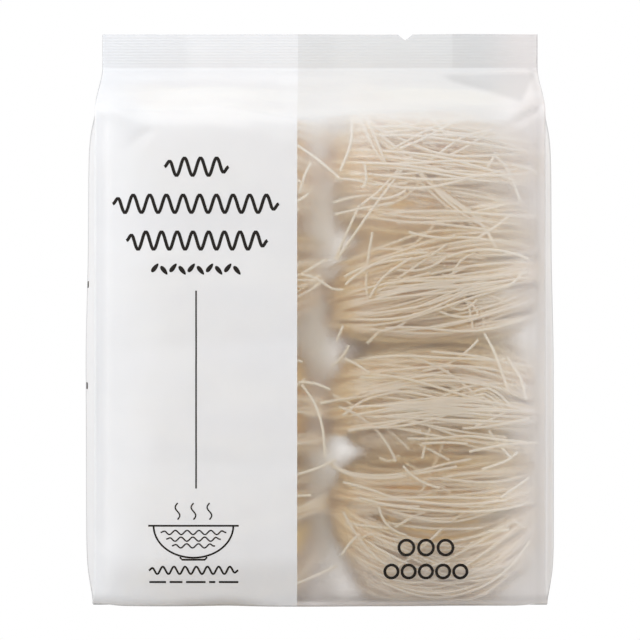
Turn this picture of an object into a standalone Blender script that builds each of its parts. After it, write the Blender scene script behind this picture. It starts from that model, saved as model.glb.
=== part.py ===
"""A sealed side-gusset pack of dried rice vermicelli nests, standing on its folded base.

The pack is one closed solid. Its front and back panels are flat sheets between four
upright creases. The side gussets swell outwards along the body, where the nests push on
them, and tuck inwards under the top seal, where the two panels come together. The front
looks along -Y, and the origin is at the middle of the base.
"""
import math

import bmesh
import bpy

# Driving dimensions, in metres.
PACK_HEIGHT = 0.2280
PANEL_WIDTH = 0.1760
PACK_DEPTH = 0.0700
SEAL_HEIGHT = 0.0138
SEAL_THICKNESS = 0.0010

# The shoulder, where the full body narrows up to the seal.
SHOULDER_DROP = 0.0350
NECK_DROP = 0.0035

# How far the filled film stands out of its flat folded shape.
GUSSET_BULGE = 0.0064
BULGE_SQUARENESS = 20
PANEL_CROWN = 0.0012
NEST_SWELL = 0.0010
BASE_RADIUS = 0.0050

# The nests inside: two columns of four.
NEST_COLUMNS = 2
NEST_ROWS = 4

# The flattened lap seal up the middle of the back.
LAP_WIDTH = 0.0120
LAP_THICKNESS = 0.0005

# The V that starts the tear, in the top edge of the seal.
TEAR_CENTRE = 0.0345
TEAR_WIDTH = 0.0056
TEAR_DEPTH = 0.0022

# Steps of the surface.
PANEL_STEPS = 28
GUSSET_STEPS = 5
BASE_STEPS = 4
BODY_STEPS = 22
SHOULDER_STEPS = 11
SEAL_STEPS = 2
MERGE_DISTANCE = 1e-6

HALF_WIDTH = PANEL_WIDTH / 2
HALF_DEPTH = PACK_DEPTH / 2
SEAL_START = PACK_HEIGHT - SEAL_HEIGHT
SHOULDER_START = PACK_HEIGHT - SHOULDER_DROP
NECK_START = SEAL_START - NECK_DROP


def smooth_step(low, high, value):
    """Rise from 0 at low to 1 at high, level at both ends."""
    part = min(max((value - low) / (high - low), 0.0), 1.0)
    return part * part * (3.0 - 2.0 * part)


def crease_depth(height):
    """Distance of the four creases from the pack's middle plane."""
    closing = smooth_step(SHOULDER_START, NECK_START, height)
    depth = HALF_DEPTH + (SEAL_THICKNESS / 2 - HALF_DEPTH) * closing
    if height < BASE_RADIUS:
        rise = 1.0 - height / BASE_RADIUS
        depth -= BASE_RADIUS * (1.0 - math.sqrt(1.0 - rise * rise))
    return depth


def gusset_reach(height):
    """How far a gusset's middle fold stands outside the creases, or less than 0 inside."""
    if height >= SEAL_START:
        return 0.0
    if height >= SHOULDER_START:
        return -math.sqrt(HALF_DEPTH ** 2 - crease_depth(height) ** 2)
    middle = SHOULDER_START / 2
    from_middle = abs(height - middle) / (middle + BASE_RADIUS / 4)
    return GUSSET_BULGE * (1.0 - from_middle ** BULGE_SQUARENESS)


def panel_swell(across, height):
    """How far the nests press a panel out beyond its creases."""
    body = smooth_step(0.0, 4 * BASE_RADIUS, height)
    body *= 1.0 - smooth_step(SHOULDER_START - SHOULDER_DROP / 4, SEAL_START, height)
    crown = PANEL_CROWN * (1.0 - (across / HALF_WIDTH) ** 2)
    column = math.sin(math.pi * across * NEST_COLUMNS / PANEL_WIDTH) ** 2
    row = math.sin(math.pi * height * NEST_ROWS / SHOULDER_START) ** 2
    return body * (crown + NEST_SWELL * column * (1.0 + row) / 2)


def panel_points(height, side):
    """One panel's points from left to right; side is -1 on the front and 1 on the back."""
    points = []
    for step in range(PANEL_STEPS + 1):
        across = PANEL_WIDTH * step / PANEL_STEPS - HALF_WIDTH
        depth = crease_depth(height) + panel_swell(across, height)
        if side > 0 and BASE_RADIUS < height < NECK_START and abs(across) < LAP_WIDTH:
            lap = 1.0 - smooth_step(LAP_WIDTH / 2, LAP_WIDTH, abs(across))
            depth += LAP_THICKNESS * lap
        points.append((across, side * depth))
    return points


def gusset_points(height):
    """The right gusset's inner points, from its front crease to its back one."""
    reach = gusset_reach(height)
    points = []
    for step in range(1, 2 * GUSSET_STEPS):
        part = step / GUSSET_STEPS
        to_fold = min(part, 2.0 - part)
        swell = math.sin(math.pi * to_fold / 2) if reach > 0 else to_fold
        points.append((HALF_WIDTH + reach * swell, crease_depth(height) * (part - 1.0)))
    return points


def outline(height):
    """The pack's outline at one height, anticlockwise from above."""
    front = panel_points(height, -1)
    right = gusset_points(height)
    back = list(reversed(panel_points(height, 1)))
    left = [(-across, depth) for across, depth in reversed(right)]
    return [(across, depth, height) for across, depth in front + right + back + left]


def spread(low, high, steps):
    """Heights after low, up to high, in equal steps."""
    return [low + (high - low) * step / steps for step in range(1, steps + 1)]


def levels():
    """The heights of all the outlines, closest together where the shape turns fastest."""
    turned = [BASE_RADIUS * (1.0 - math.cos(math.pi / 2 * step / BASE_STEPS))
              for step in range(BASE_STEPS + 1)]
    body = spread(BASE_RADIUS, SHOULDER_START, BODY_STEPS)
    shoulder = spread(SHOULDER_START, NECK_START, SHOULDER_STEPS)
    return turned + body + shoulder + [SEAL_START] + spread(SEAL_START, PACK_HEIGHT, SEAL_STEPS)


def make_material(name, colour, roughness):
    """A plain Principled material."""
    material = bpy.data.materials.new(name)
    material.use_nodes = True
    shader = material.node_tree.nodes["Principled BSDF"]
    shader.inputs["Base Color"].default_value = (*colour, 1.0)
    shader.inputs["Roughness"].default_value = roughness
    shader.inputs["Metallic"].default_value = 0.0
    return material


def make_object(name, mesh_builder, material):
    """Link a new object whose mesh comes from the bmesh in mesh_builder."""
    mesh = bpy.data.meshes.new(name)
    mesh_builder.to_mesh(mesh)
    mesh_builder.free()
    made = bpy.data.objects.new(name, mesh)
    bpy.context.scene.collection.objects.link(made)
    if material:
        mesh.materials.append(material)
    return made


def build_pack(material):
    """Roll a flat grid round the outlines, join its two edges and close both ends."""
    heights = levels()
    around = len(outline(PACK_HEIGHT))
    pack = bmesh.new()
    bmesh.ops.create_grid(pack, x_segments=around, y_segments=len(heights) - 1, size=1.0)
    outlines = [outline(height) for height in heights]
    for vert in pack.verts:
        column = round((vert.co.x + 1.0) / 2 * around)
        row = round((vert.co.y + 1.0) / 2 * (len(heights) - 1))
        vert.co = outlines[row][column % around]
    bmesh.ops.remove_doubles(pack, verts=pack.verts, dist=MERGE_DISTANCE)
    bmesh.ops.holes_fill(pack, edges=pack.edges, sides=0)
    bmesh.ops.recalc_face_normals(pack, faces=pack.faces)
    return make_object("pack", pack, material)


def build_tear_cutter():
    """A three-sided prism whose lower edge is the foot of the tear V."""
    cutter = bmesh.new()
    over = TEAR_DEPTH
    half = TEAR_WIDTH / 2 * (TEAR_DEPTH + over) / TEAR_DEPTH
    corners = [(TEAR_CENTRE, PACK_HEIGHT - TEAR_DEPTH), (TEAR_CENTRE + half, PACK_HEIGHT + over),
               (TEAR_CENTRE - half, PACK_HEIGHT + over)]
    near = [cutter.verts.new((across, -HALF_DEPTH / 2, height)) for across, height in corners]
    face = cutter.faces.new(near)
    grown = bmesh.ops.extrude_face_region(cutter, geom=[face])["geom"]
    far = [item for item in grown if isinstance(item, bmesh.types.BMVert)]
    bmesh.ops.translate(cutter, verts=far, vec=(0.0, HALF_DEPTH, 0.0))
    bmesh.ops.recalc_face_normals(cutter, faces=cutter.faces)
    made = make_object("tear_cutter", cutter, None)
    made.hide_render = True
    made.display_type = "WIRE"
    return made


def centre_on_base(pack):
    """Slide the mesh so that the middle of its bounding box is over the origin."""
    depths = [vert.co.y for vert in pack.data.vertices]
    offset = (min(depths) + max(depths)) / 2
    for vert in pack.data.vertices:
        vert.co.y -= offset


def main():
    for old in list(bpy.data.objects):
        bpy.data.objects.remove(old)
    film = make_material("matte film", (0.76, 0.75, 0.73), 0.45)
    pack = build_pack(film)
    centre_on_base(pack)
    cut = pack.modifiers.new("tear", "BOOLEAN")
    cut.operation = "DIFFERENCE"
    cut.object = build_tear_cutter()


main()
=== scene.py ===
# %% [markdown]
# # A pack of rice vermicelli nests
#
# This lesson dresses one plain solid, a sealed pack, as the real thing: a matte film bag,
# printed white on its left half and left clear on its right half, with eight nests of dried
# rice vermicelli inside. The solid gives every size. What we add is the film with its folds,
# the noodles strand by strand, the print, and soft studio light.

import math
import random

import bmesh
import bpy
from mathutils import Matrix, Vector, noise
from mathutils.geometry import interpolate_bezier


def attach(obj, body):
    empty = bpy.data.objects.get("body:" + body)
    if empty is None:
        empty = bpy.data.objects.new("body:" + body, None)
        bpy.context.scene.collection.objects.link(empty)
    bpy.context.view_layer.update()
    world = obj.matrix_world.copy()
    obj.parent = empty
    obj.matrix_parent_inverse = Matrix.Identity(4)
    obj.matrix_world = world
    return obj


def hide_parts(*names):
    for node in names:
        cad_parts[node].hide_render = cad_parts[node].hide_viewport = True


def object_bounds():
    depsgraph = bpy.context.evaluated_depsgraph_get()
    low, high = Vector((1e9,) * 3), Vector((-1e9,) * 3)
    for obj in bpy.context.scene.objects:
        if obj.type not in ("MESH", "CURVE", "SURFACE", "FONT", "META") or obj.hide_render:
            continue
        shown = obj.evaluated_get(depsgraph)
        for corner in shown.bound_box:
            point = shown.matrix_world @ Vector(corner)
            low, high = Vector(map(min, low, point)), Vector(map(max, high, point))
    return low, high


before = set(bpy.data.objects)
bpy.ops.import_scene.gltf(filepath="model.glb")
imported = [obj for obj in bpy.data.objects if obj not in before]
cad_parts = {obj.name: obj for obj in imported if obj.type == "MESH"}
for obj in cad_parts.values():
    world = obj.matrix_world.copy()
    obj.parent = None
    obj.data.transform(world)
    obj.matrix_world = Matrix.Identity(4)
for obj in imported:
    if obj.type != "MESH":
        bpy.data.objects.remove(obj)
SOLID_LOW, SOLID_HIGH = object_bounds()
print("the solid pack measures", [round(side, 4) for side in SOLID_HIGH - SOLID_LOW])

# %% [markdown]
# ## The sizes of the pack
#
# A side-gusset bag is made from one flat web of film, folded round into a tube. Four upright
# creases divide the web into a front, a back and two gussets, and each gusset has a fold down
# its middle. The seal at the top, the shoulder below it and the swell of the gussets are named
# here in millimetres; the height and the span come from the solid.

# %% Name the sizes
MM = 0.001
PACK_HEIGHT = SOLID_HIGH.z
GUSSET_BULGE = 6.4 * MM
HALF_WIDTH = SOLID_HIGH.x - GUSSET_BULGE
HALF_DEPTH = 34.4 * MM
SEAL_HEIGHT = 13.8 * MM
SEAL_START = PACK_HEIGHT - SEAL_HEIGHT
NECK_START = SEAL_START - 0.6 * MM
SHOULDER_START = PACK_HEIGHT - 33 * MM
BASE_RADIUS = 5 * MM
print("the front panel is", round(2 * HALF_WIDTH / MM, 1), "mm wide")

# %% [markdown]
# ## Where the nests lie
#
# Eight nests fill the pack, in two columns of four, each wound as an oval coil about an
# upright axis. They aren't alike: one tilts, one arches, and the lowest sags like a bowl.
# Each row of this table is one level of nests, so that the film can be swelled over it and
# the strands wound in it.

# %% Place the nests
NEST_DEPTH = HALF_DEPTH + 1.5 * MM
RIGHT_NEST = (44.5 * MM, 41.0 * MM)
LEFT_NEST = (-38.0 * MM, 42.5 * MM)

# Middle height, half height, rise to the right, sag of the top strands, sag of the lowest.
NEST_ROWS = [
    ("top", 172.5 * MM, 30.5 * MM, -0.03, -0.15, 0.05),
    ("upper", 126.0 * MM, 23.5 * MM, 0.12, -0.20, 0.15),
    ("lower", 78.5 * MM, 25.0 * MM, -0.02, -0.32, 0.05),
    ("bottom", 31.0 * MM, 28.5 * MM, 0.02, 0.10, 0.80),
]
print(len(NEST_ROWS), "nests in each column")

# %% [markdown]
# ## The shape of the folded film
#
# One function gives any point of the film from two numbers: how far along the web the point
# is, counted from the seam at the middle of the back, and how high. Built this way, the front,
# the gussets and the back meet exactly at their creases, as one folded sheet does. Heights
# below zero go on under the pack, where the film is folded flat.

# %% Measure the folds
BACK_LEFT = HALF_WIDTH
LEFT_FOLD = BACK_LEFT + HALF_DEPTH
FRONT_LEFT = LEFT_FOLD + HALF_DEPTH
FRONT_MIDDLE = FRONT_LEFT + HALF_WIDTH
FRONT_RIGHT = FRONT_MIDDLE + HALF_WIDTH
RIGHT_FOLD = FRONT_RIGHT + HALF_DEPTH
BACK_RIGHT = RIGHT_FOLD + HALF_DEPTH
WEB_WIDTH = BACK_RIGHT + HALF_WIDTH

LAYER_GAP = 0.25 * MM
BULGE_SQUARENESS = 15


def smooth_step(low, high, value):
    """Rise from 0 at low to 1 at high, level at both ends."""
    part = min(max((value - low) / (high - low), 0.0), 1.0)
    return part * part * (3.0 - 2.0 * part)


def crease_depth(height):
    """How far the creases are from the pack's middle plane."""
    if height < 0:
        return max(HALF_DEPTH - BASE_RADIUS + height, LAYER_GAP)
    part = min(max((height - SHOULDER_START) / (NECK_START - SHOULDER_START), 0.0), 1.0)
    closing = 0.6 * part + 0.4 * smooth_step(0.0, 1.0, part)
    depth = HALF_DEPTH + (LAYER_GAP - HALF_DEPTH) * closing
    if height < BASE_RADIUS:
        rise = 1.0 - height / BASE_RADIUS
        depth -= BASE_RADIUS * (1.0 - math.sqrt(1.0 - rise * rise))
    return depth


def gusset_reach(height):
    """How far a gusset's middle fold stands out of the creases, or less than 0 when tucked."""
    if height < 0:
        return height
    if height >= SHOULDER_START:
        return -math.sqrt(HALF_DEPTH ** 2 - crease_depth(height) ** 2)
    middle = SHOULDER_START / 2
    from_middle = abs(height - middle) / (middle + BASE_RADIUS / 4)
    slack = 1.0 - 0.17 * smooth_step(90 * MM, 145 * MM, height)
    return GUSSET_BULGE * slack * (1.0 - from_middle ** BULGE_SQUARENESS)


print("the web is", round(WEB_WIDTH / MM), "mm wide")

# %% [markdown]
# ## Dents and wrinkles
#
# Filled film is never quite flat. It swells over each nest, sinks in a shallow valley just
# inside each crease, ripples where the shoulder gathers to the seal and buckles into short
# diagonal folds at the upper corners. Each of these is a small push in or out, worked out in
# code and added to the flat fold. They could be sculpted or simulated, but named pushes can
# be put exactly where a real pack has them.

# %% Swell and ripple the panels
PANEL_CROWN = 3.1 * MM
NEST_SWELL = 1.0 * MM
CREASE_VALLEY = 0.95 * MM
VALLEY_PLACE = 3.2 * MM
VALLEY_WIDTH = 1.5 * MM
WRINKLE = 0.35 * MM
WRINKLE_SIZE = 30 * MM
RIPPLE = 0.8 * MM
RIPPLE_PITCH = 8.6 * MM
DARK_RIPPLE = 200.9 * MM
SHOULDER_SLOPE = 1.17


# How far in from its creases a panel is still rolling forwards, at each height.
EDGE_ROLL = [(0, 5), (18, 12), (34, 17), (53, 22), (75, 29), (100, 31), (140, 22), (175, 16),
             (196, 12)]


def roll_width(height):
    """The width of a panel's rolled edge at one height."""
    for (low, start), (high, end) in zip(EDGE_ROLL, EDGE_ROLL[1:]):
        if height <= high * MM:
            return MM * (start + (end - start) * max(height / MM - low, 0.0) / (high - low))
    return EDGE_ROLL[-1][1] * MM


def nest_press(across, height):
    """How strongly the nests press a panel outwards at one place, from 0 to 1."""
    press = 0.0
    for _, nest_z, half_height, rise, _, _ in NEST_ROWS:
        for nest_x, half_width in (RIGHT_NEST, LEFT_NEST):
            sideways = (across - nest_x) / half_width
            upwards = (height - nest_z - rise * (across - nest_x)) / half_height
            press = max(press, math.exp(-sideways ** 4 - upwards ** 4))
    return press


# How much lower than at the creases the front's shoulder starts, at places across it.
SHOULDER_SAG = [(-88, 0), (-60, 1.5), (-36, 0), (-9, 4), (20, 1.5), (55, 0), (88, 0)]


def shoulder_sag(across, height):
    """How far the front stands back because its shoulder starts lower there."""
    part = min(max((height - SHOULDER_START) / (NECK_START - SHOULDER_START), 0.0), 1.0)
    for (low, start), (high, end) in zip(SHOULDER_SAG, SHOULDER_SAG[1:]):
        if low * MM <= across <= high * MM:
            sag = start + (end - start) * smooth_step(low * MM, high * MM, across)
            return crease_depth(height) - crease_depth(height + sag * MM * (1.0 - part))
    return 0.0


def soft_turn(edge, height, along):
    """How far a panel rounds off the corner between its front and its shoulder."""
    spread = min(edge / (16 * MM), 1.0)
    wander = noise.noise(Vector((along / (40 * MM), 2.0, 0.0)))
    reach = (1.0 + (12.0 + 4.0 * wander) * spread) * MM
    part = min(abs(height - SHOULDER_START) / reach, 1.0)
    return SHOULDER_SLOPE * reach / 6 * (1.0 - part) ** 3


def panel_swell(across, height, along):
    """How far the front or the back stands out of the plane between its creases."""
    edge = HALF_WIDTH - abs(across)
    pinned = smooth_step(0.0, 12 * MM, edge)
    body = smooth_step(0.0, 4 * BASE_RADIUS, height)
    shoulder = SHOULDER_START - 6 * MM * smooth_step(0.0, 25 * MM, edge)
    body *= 1.0 - smooth_step(shoulder - 2 * MM, shoulder + 13 * MM, height)
    push = PANEL_CROWN * (1.0 - max(1.0 - edge / roll_width(height), 0.0) ** 1.6)
    push += NEST_SWELL * (nest_press(across, height) - 0.3) * pinned
    push -= CREASE_VALLEY * math.exp(-((edge - VALLEY_PLACE) / VALLEY_WIDTH) ** 2)
    place = Vector((along, height * 0.6, 0.0)) / WRINKLE_SIZE
    push += pinned * WRINKLE * (noise.noise(place) + 0.4 * noise.noise(place * 3.1))
    gather = smooth_step(SHOULDER_START - 6 * MM, SHOULDER_START + 4 * MM, height)
    gather *= 1.0 - smooth_step(NECK_START - 2 * MM, SEAL_START, height)
    wander = 1.5 * noise.noise(Vector((along / (45 * MM), 4.0, 0.0)))
    turn = 2 * math.pi * (height - DARK_RIPPLE) / RIPPLE_PITCH + wander
    push = body * push - soft_turn(edge, height, along)
    return push + gather * pinned * RIPPLE * math.sin(turn)


# %% [markdown]
# The corner folds are straight dents and ridges that fade from one end to the other. A table
# holds them, one for the front and one for the back, in millimetres from the panel's middle.

# %% Fold the corners
# One end, the other end, push outwards and width.
FRONT_FOLDS = [
    ((-67, 185.5), (-77, 177.5), -0.8, 1.8),
    ((-88, 196), (-68, 188), 1.3, 3.0),
    ((-87, 188), (-82, 168), 0.5, 1.4),
    ((-86.3, 85), (-86.5, 107), -0.7, 1.2),
    ((-86.3, 85), (-86.5, 56), -0.7, 1.2),
    ((-36, 191), (-9, 185), -0.5, 3.0),
    ((-84, 22), (-77, 8), 0.4, 2.5),
    ((88, 196), (73, 187), -2.0, 1.6),
    ((88, 200), (66, 198), 1.4, 2.2),
    ((88.5, 178), (82, 182), -1.0, 1.2),
    ((62, 205), (12, 203), 0.4, 2.4),
    ((86, 209), (60, 211), 6.0, 6.5),
]
BACK_FOLDS = [
    ((88, 197), (62, 186), -0.9, 1.8),
    ((-88, 194), (-70, 180), -0.8, 1.5),
    ((-84, 201), (-30, 197), 0.5, 2.4),
    ((84, 203), (36, 199), 0.5, 2.4),
    ((-88, 14), (-70, 24), -0.4, 1.8),
    ((88, 12), (72, 26), -0.4, 1.8),
]


def fold_push(across, height, folds):
    """The push of all of a panel's corner folds at one place."""
    push = 0.0
    place = Vector((across, height))
    for first, last, push_out, width in folds:
        start, run = Vector(first) * MM, (Vector(last) - Vector(first)) * MM
        if (place - start).length > run.length + 3 * width * MM:
            continue
        part = min(max((place - start).dot(run) / run.length_squared, 0.0), 1.0)
        away = (place - start - run * part).length / (width * MM)
        push += push_out * MM * (1.0 - part ** 2) * math.exp(-away * away)
    push *= 1.0 - smooth_step(SEAL_START - 3 * MM, SEAL_START, height)
    return push * smooth_step(0.0, 3 * MM, HALF_WIDTH - abs(across))


def gusset_swell(part, height, along):
    """How far a gusset stands out at a part of the way from its crease to its fold."""
    reach = gusset_reach(height)
    if reach <= 0:
        return reach * part
    wrinkle = noise.noise(Vector((along, height * 0.5, 7.0 * MM)) / WRINKLE_SIZE)
    return (reach + 1.2 * WRINKLE * wrinkle) * math.sin(math.pi * part / 2)


# %% [markdown]
# The seal is crimped in fine level ribs that all its layers share, and its upper edge has the
# small V that starts the tear. Points above that edge are let down onto it, which cuts the V
# without a Boolean. At the base the film turns under, and the corners stand a little off the
# floor. The overlap up the middle of the back is one layer over the other.

# %% Place a point of the film
RIB_PITCH = 1.15 * MM
RIB = 0.03 * MM
TEAR_CENTRE = 34.5 * MM
TEAR_HALF = 2.9 * MM
TEAR_DEPTH = 2.3 * MM
EDGE_WAVE = 0.2 * MM
BASE_GAP = 0.1 * MM
BASE_HOLLOW = 0.5 * MM
CORNER_LIFT = 0.8 * MM
FOOT_FLARE = 0.014
LAP_HALF = 6 * MM
LAP_STEP = 0.3 * MM


def top_edge(across):
    """Height of the seal's upper edge: a slow wave and the tear V."""
    notch = max(0.0, 1.0 - abs(across - TEAR_CENTRE) / TEAR_HALF)
    wave = noise.noise(Vector((across / (40 * MM), 0.0, 9.0))) - 1.0
    return PACK_HEIGHT - TEAR_DEPTH * notch ** 0.8 + EDGE_WAVE * wave


def rib_push(height):
    """The crimp of the seal at one height."""
    inside = smooth_step(SEAL_START, SEAL_START + RIB_PITCH, height)
    return inside * RIB * math.sin(2 * math.pi * (height - SEAL_START) / RIB_PITCH)


def real_height(across, height):
    """Height off the floor, with the base turned under and the corners a little lifted."""
    if height < 0:
        return BASE_GAP - BASE_HOLLOW * height / HALF_DEPTH
    corner = smooth_step(HALF_WIDTH - 12 * MM, HALF_WIDTH, abs(across))
    low = max(0.0, 1.0 - height / (3 * BASE_RADIUS))
    gap = BASE_GAP * max(0.0, 1.0 - height / BASE_RADIUS)
    return height + gap + CORNER_LIFT * corner * low * low


def film_point(along, height):
    """A point of the film, from its place along the web and its height."""
    depth = crease_depth(height)
    if BACK_LEFT < along < FRONT_LEFT or FRONT_RIGHT < along < BACK_RIGHT:
        side, fold = (-1, LEFT_FOLD) if along < FRONT_LEFT else (1, RIGHT_FOLD)
        turn = (along - fold) / HALF_DEPTH
        across = side * (HALF_WIDTH + gusset_swell(1.0 - abs(turn), height, along))
        y = side * turn * depth
    else:
        front = FRONT_LEFT <= along <= FRONT_RIGHT
        across = along - FRONT_MIDDLE if front else WEB_WIDTH - along
        across = -along if along <= BACK_LEFT else across
        if height > 0:
            depth += panel_swell(across, height, along)
            depth -= shoulder_sag(across, height) if front else 0.0
            depth += fold_push(across, height, FRONT_FOLDS if front else BACK_FOLDS)
        lap = along - WEB_WIDTH + LAP_HALF
        depth += LAP_STEP * smooth_step(-2 * MM, 0.0, lap)
        y = -depth if front else depth
    level = min(height, top_edge(across))
    across *= 1.0 + FOOT_FLARE * max(0.0, 1.0 - max(height, 0.0) / (2 * BASE_RADIUS)) ** 2
    return Vector((across, y + rib_push(level), real_height(across, level)))


print("front middle of the film:", [round(c, 4) for c in film_point(FRONT_MIDDLE, 0.1)])

# %% [markdown]
# ## Helpers for materials
#
# Colours are written as they look on a screen, in sRGB hex, and Blender wants them linear, so
# one function turns them. Another adds a shader node with its settings and its links, which
# keeps each material down to a list of what it is made from.

# %% Add colours and nodes
def colour(code):
    """Linear RGBA from an sRGB hex code."""
    values = [int(code[place:place + 2], 16) / 255 for place in (1, 3, 5)]
    linear = [v / 12.92 if v <= 0.04045 else ((v + 0.055) / 1.055) ** 2.4 for v in values]
    return (*linear, 1.0)


def add_node(tree, kind, settings=None, links=None):
    """Add a node; settings go to its sockets or properties, links come from other outputs."""
    node = tree.nodes.new(kind)
    for name, value in (settings or {}).items():
        if isinstance(name, int) or name in node.inputs:
            node.inputs[name].default_value = value
        else:
            setattr(node, name, value)
    for name, source in (links or {}).items():
        tree.links.new(source, node.inputs[name])
    return node


def band(tree, value, middle, half_width, strength):
    """A smooth bump of a strength round one place along an axis."""
    away = add_node(tree, "ShaderNodeMath", {"operation": "SUBTRACT", 1: middle}, {0: value})
    apart = add_node(tree, "ShaderNodeMath", {"operation": "ABSOLUTE"}, {0: away.outputs[0]})
    return slope(tree, apart.outputs[0], half_width, 0.0, strength)


def slope(tree, value, low, high, strength):
    """A smooth rise from 0 at low to a strength at high."""
    rise = add_node(tree, "ShaderNodeMapRange",
                    {"interpolation_type": "SMOOTHSTEP", "From Min": low, "From Max": high,
                     "To Max": strength}, {"Value": value})
    return rise.outputs["Result"]


def add_up(tree, values):
    """The sum of several values, no more than 1."""
    total = values[0]
    for value in values[1:]:
        total = add_node(tree, "ShaderNodeMath", {"operation": "ADD", "use_clamp": True},
                         {0: total, 1: value}).outputs[0]
    return total


def new_material(name):
    """An empty node material and its output node."""
    material = bpy.data.materials.new(name)
    material.use_nodes = True
    material.node_tree.nodes.clear()
    return material, add_node(material.node_tree, "ShaderNodeOutputMaterial")


print("white film as linear:", [round(value, 3) for value in colour("#f2f2f1")[:3]])

# %% [markdown]
# Where a film turns away from the eye, or turns under the pack, a thin line of painted shade
# outlines it, and its lowest few millimetres are painted a little darker, for the shade where
# it turns under. Both films share this painted edge shade.

# %% Shade the edges
def shaded_edge(tree, place, sheet, shades=()):
    """A film's surface with its thin outline and darker foot of painted shade, and the given painted
    shades.
    """
    turned = add_node(tree, "ShaderNodeLayerWeight", {"Blend": 0.5}).outputs["Facing"]
    height = add_node(tree, "ShaderNodeSeparateXYZ", {}, {"Vector": place}).outputs["Z"]
    # Painted shade: a dark diffuse where the film turns from the eye, over its lowest millimetres
    # and wherever the given shades say.
    line = add_up(tree, [slope(tree, turned, 0.90, 0.97, 0.45),
                         slope(tree, height, 7.5 * MM, 1.2 * MM, 0.10),
                         slope(tree, height, 1.0 * MM, 0.2 * MM, 0.25), *shades])
    dark = add_node(tree, "ShaderNodeBsdfDiffuse", {"Color": colour("#6a6a6c")})
    return add_node(tree, "ShaderNodeMixShader", {},
                    {0: line, 1: sheet.outputs[0], 2: dark.outputs[0]})


print("edges are ready")

# %% [markdown]
# ## White film
#
# The left half is matte polypropylene film with a flood of white ink printed on its inside.
# To the eye it is a cool, even white with a soft satin sheen. The ink lies a little
# unevenly, which shows as a very faint mottle, and the matte coat has a grain of about half a
# millimetre, drawn coarser than it is so that it can be seen at all.

# %% Make the white film
white_film, output = new_material("matte polypropylene film, printed white")
tree = white_film.node_tree
place = add_node(tree, "ShaderNodeTexCoord").outputs["Object"]
mottle = add_node(tree, "ShaderNodeTexNoise", {"Scale": 1 / (14 * MM), "Detail": 3.0},
                  {"Vector": place})
white_ink = add_node(tree, "ShaderNodeMix",
                     {"data_type": "RGBA", 6: colour("#d6d8dc"), 7: colour("#dcdee2")},
                     {0: mottle.outputs["Fac"]})
grain = add_node(tree, "ShaderNodeTexNoise", {"Scale": 1 / (0.5 * MM), "Detail": 2.0},
                 {"Vector": place})
bump = add_node(tree, "ShaderNodeBump", {"Strength": 0.08, "Distance": 0.05 * MM},
                {"Height": grain.outputs["Fac"]})
satin = add_node(tree, "ShaderNodeBsdfPrincipled", {"Roughness": 0.42, "IOR": 1.49},
                 {"Base Color": white_ink.outputs[2], "Normal": bump.outputs["Normal"]})
glow = add_node(tree, "ShaderNodeBsdfTranslucent", {"Color": colour("#eff2f6")})
sheet = add_node(tree, "ShaderNodeMixShader", {0: 0.15},
                 {1: satin.outputs["BSDF"], 2: glow.outputs[0]})
# Painted shade on the white film: a thin line where it turns from the eye, and a darker foot.
sheet = shaded_edge(tree, place, sheet)
let_through = add_node(tree, "ShaderNodeBsdfTransparent", {"Color": colour("#f2f2f2")})
ray = add_node(tree, "ShaderNodeLightPath")
inner = add_node(tree, "ShaderNodeMixShader", {0: 0.85},
                 {1: sheet.outputs[0], 2: let_through.outputs[0]})
met = add_node(tree, "ShaderNodeMixShader", {},
               {0: ray.outputs["Is Diffuse Ray"], 1: sheet.outputs[0], 2: inner.outputs[0]})
whole = add_node(tree, "ShaderNodeMixShader", {},
                 {0: ray.outputs["Is Shadow Ray"], 1: met.outputs[0], 2: let_through.outputs[0]})
tree.links.new(whole.outputs[0], output.inputs["Surface"])
print("made", white_film.name)

# %% [markdown]
# ## Clear film
#
# The right half is the same matte film without ink. It is frosted: whatever touches it shows
# crisply, and whatever lies deeper is blurred more and more, until it is only a warm haze.
# A rough refraction gives exactly that from a single sheet. Its IOR is set far below that of
# plastic, because a real film has a second face close behind that turns the light back.
# A little diffuse haze and a broad gloss go over it. The haze's colour is partly painted
# light: warmer below the shoulder, for the light the noodles bounce into it, and lighter
# towards the right edge and the bottom. Painted shade lies over it behind the right shoulder,
# where the tucked gusset is in shade, in lines inside the right crease and along the base, and
# on the seal where the gusset's extra layers are.
#
# Where the seal's hot bars have crimped it, the film is cloudier, so a second version of the
# material carries more haze.
#
# Shadow rays and bounced light pass straight through, as in a transparent sheet, so that the
# noodles inside are lit at little cost and without noise.

# %% Make the clear film
def across_line(tree, place, first, last, half_width, strength):
    """A smooth step in X and Z from 0 on the left of a line, seen from its first end, to 1."""
    run = (Vector((*last, 0.0)) - Vector((*first, 0.0))).normalized()
    normal = (run.y, 0.0, -run.x)
    measured = add_node(tree, "ShaderNodeVectorMath", {"operation": "DOT_PRODUCT", 1: normal},
                        {0: place}).outputs["Value"]
    middle = (first[0] * normal[0] + first[1] * normal[2]) * MM
    return slope(tree, measured, middle - half_width * MM, middle + half_width * MM, strength)


TUCK_EDGE = HALF_WIDTH - HALF_DEPTH


def tuck_shade(tree, place, strength):
    """Painted shade where the tucked gusset's layers lie in shade behind the right shoulder."""
    above = across_line(tree, place, (78.9, 197.6), (50.8, 208.9), 1.6, 1.0)
    beside = across_line(tree, place, (78.9, 197.6), (85.1, 209.5), 1.3, strength)
    other = add_node(tree, "ShaderNodeMath", {"operation": "SUBTRACT", 0: strength}, {1: beside})
    shade = add_node(tree, "ShaderNodeMath", {"operation": "MULTIPLY"},
                     {0: above, 1: other.outputs[0]})
    axes = add_node(tree, "ShaderNodeSeparateXYZ", {}, {"Vector": place}).outputs
    for edge in (slope(tree, axes["X"], 47 * MM, 54 * MM, 1.0),
                 slope(tree, axes["Z"], 212.5 * MM, 209.5 * MM, 1.0)):
        shade = add_node(tree, "ShaderNodeMath", {"operation": "MULTIPLY"},
                         {0: shade.outputs[0], 1: edge})
    return shade.outputs[0]


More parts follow.
